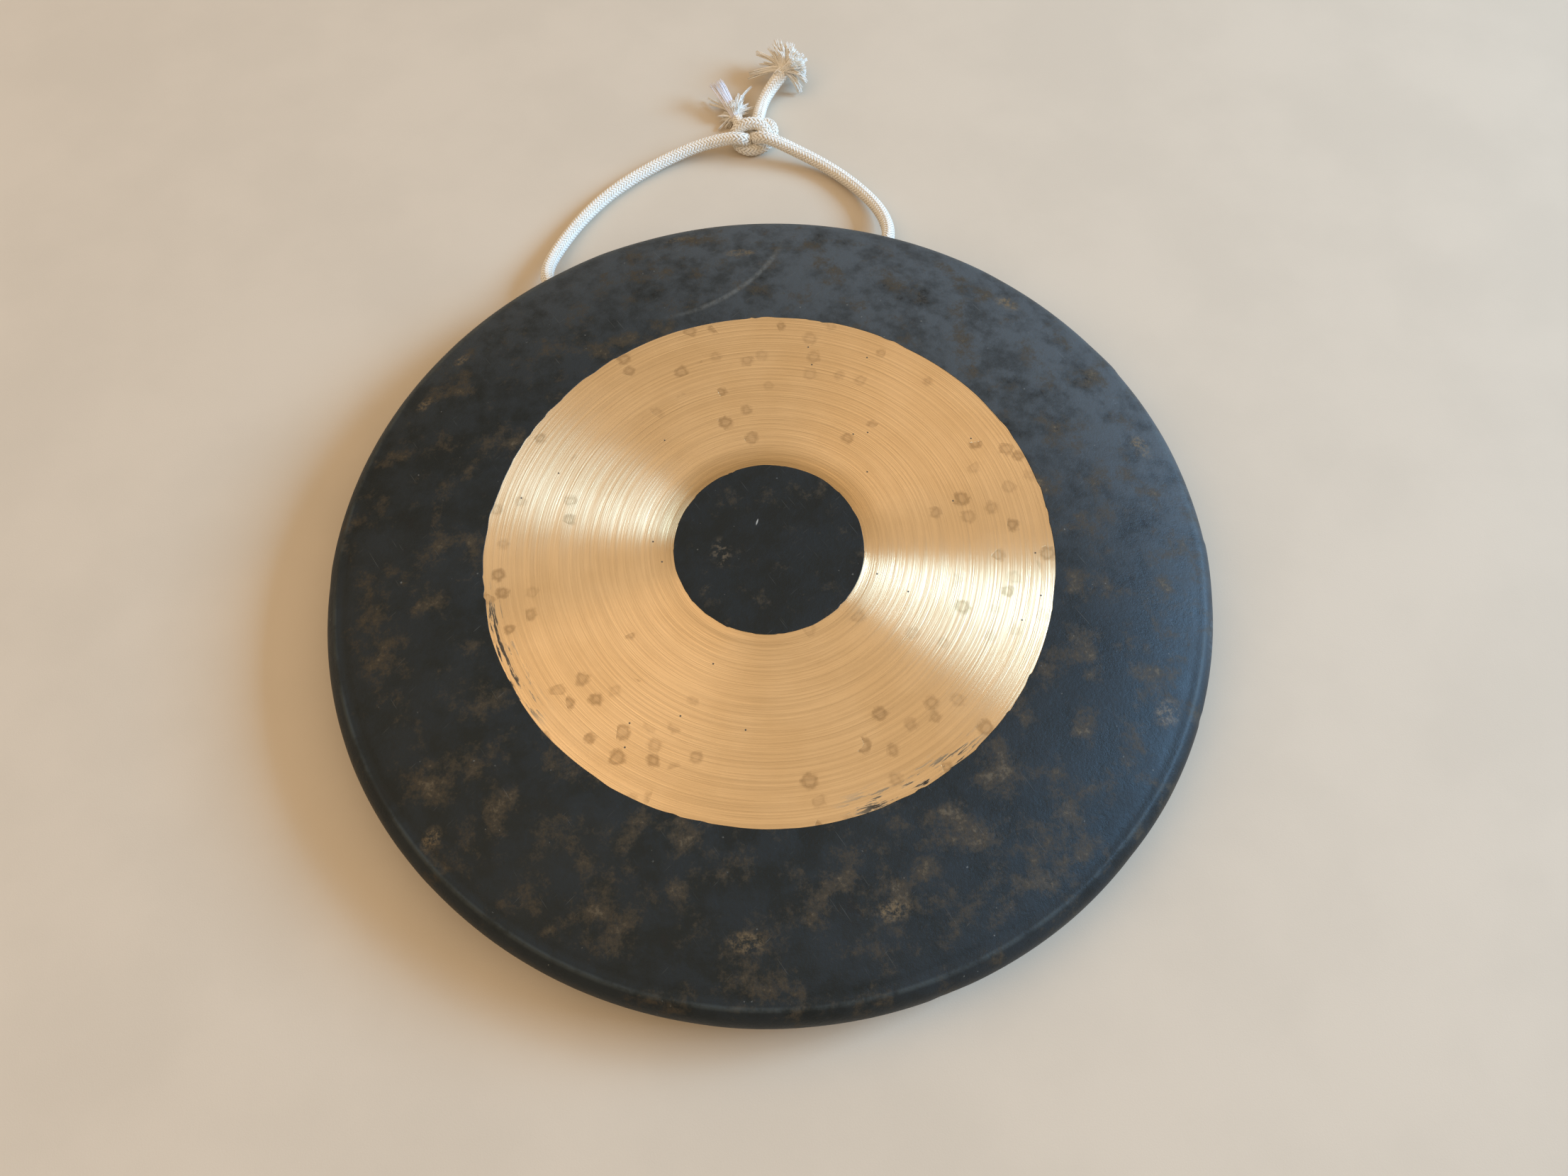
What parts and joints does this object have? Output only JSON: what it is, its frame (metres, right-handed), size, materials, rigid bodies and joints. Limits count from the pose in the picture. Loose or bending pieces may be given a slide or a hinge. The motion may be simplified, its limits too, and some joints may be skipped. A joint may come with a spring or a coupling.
{
  "type": "tam tam gong",
  "caption": "Shallow bronze gong with a turned-back rim, dark oxide centre and border and a bright scraped ring, hung by a braided cotton cord knotted through its rim holes.",
  "frame": {"origin": "centre of the disc on the plane of the rim's lower edge, on which the gong lies face up", "axes": "+Z out of the face along the disc's axis; +Y midway between the two rim holes, towards the cord's loop; +X to the right"},
  "size_m": [0.35, 0.4687, 0.034],
  "materials": {
    "bronze": "hammered bronze: matte blue-black forging oxide, with a ring scraped bright in fine concentric grooves",
    "cotton_cord": "round braided cotton, undyed",
    "cotton_yarn": "loose cotton yarn ends of the unravelled braid",
    "core_fibre": "flat bundle of pale core fibres"
  },
  "bodies": {
    "gong": {"gong_disc": "bronze", "cord_behind_rim": "cotton_cord"},
    "cord_loop": {"cord_left": "cotton_cord", "cord_right": "cotton_cord", "cord_knot": "cotton_cord", "tail_long": "cotton_cord", "tail_short": "cotton_cord", "frayed_end_long": "cotton_yarn", "frayed_end_short": "cotton_yarn", "core_end_short": "core_fibre"}
  },
  "joints": [
    {"name": "loop_swing", "type": "hinge", "parent": "gong", "child": "cord_loop", "pos_m": [0, 0.16088, 0.0103], "axis": [1, 0, 0], "range_deg": [0, 100]}
  ]
}
